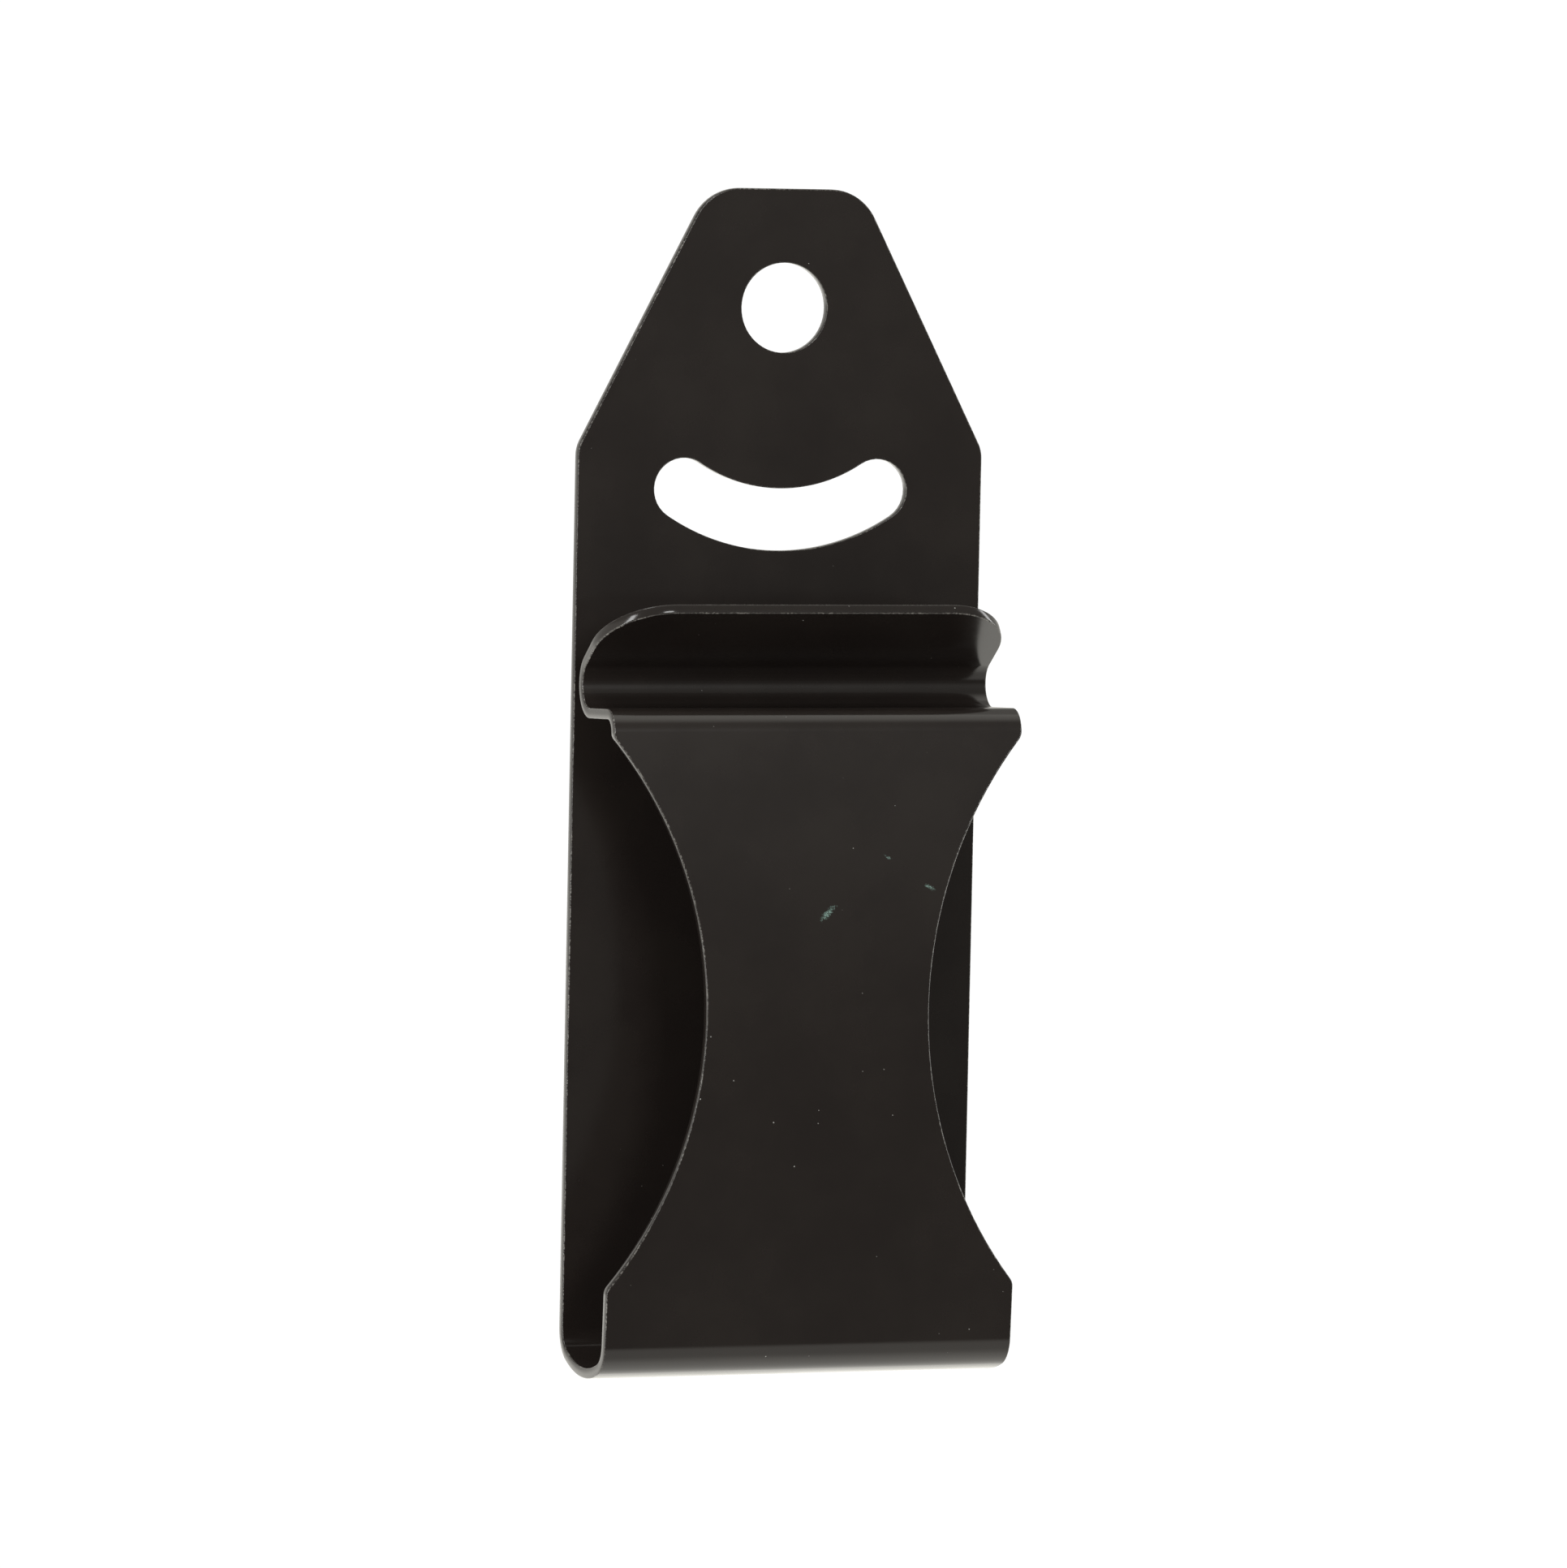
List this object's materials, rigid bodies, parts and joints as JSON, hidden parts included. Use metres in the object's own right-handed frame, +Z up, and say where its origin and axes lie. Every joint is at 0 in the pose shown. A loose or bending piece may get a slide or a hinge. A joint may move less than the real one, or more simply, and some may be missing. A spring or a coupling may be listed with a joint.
{
  "type": "hair dryer holder",
  "caption": "Folded spring-steel clip holder: tapered plate with a mounting hole and curved slot, U-bend, waisted front leaf and flared catch.",
  "frame": {"origin": "centre of the mounting hole on the plate's back face", "axes": "+Z up the plate towards its tapered crown, +X across the strip, front of the holder facing -Y"},
  "size_m": [0.038, 0.014, 0.1051],
  "materials": {
    "black_lacquered_steel": "smooth semi-gloss black lacquer on spring steel"
  },
  "bodies": {
    "back": {"back_plate": "black_lacquered_steel", "bottom_bend": "black_lacquered_steel"},
    "leaf": {"front_leaf": "black_lacquered_steel", "catch_bead": "black_lacquered_steel", "lead_in_lip": "black_lacquered_steel"}
  },
  "joints": [
    {"name": "leaf_flex", "type": "hinge", "parent": "back", "child": "leaf", "pos_m": [0, -0.00665, -0.09085], "axis": [1, 0, 0], "range_deg": [-1.3, 8], "stiffness_Nm_per_rad": 11.4, "deforming": ["bottom_bend"]}
  ]
}
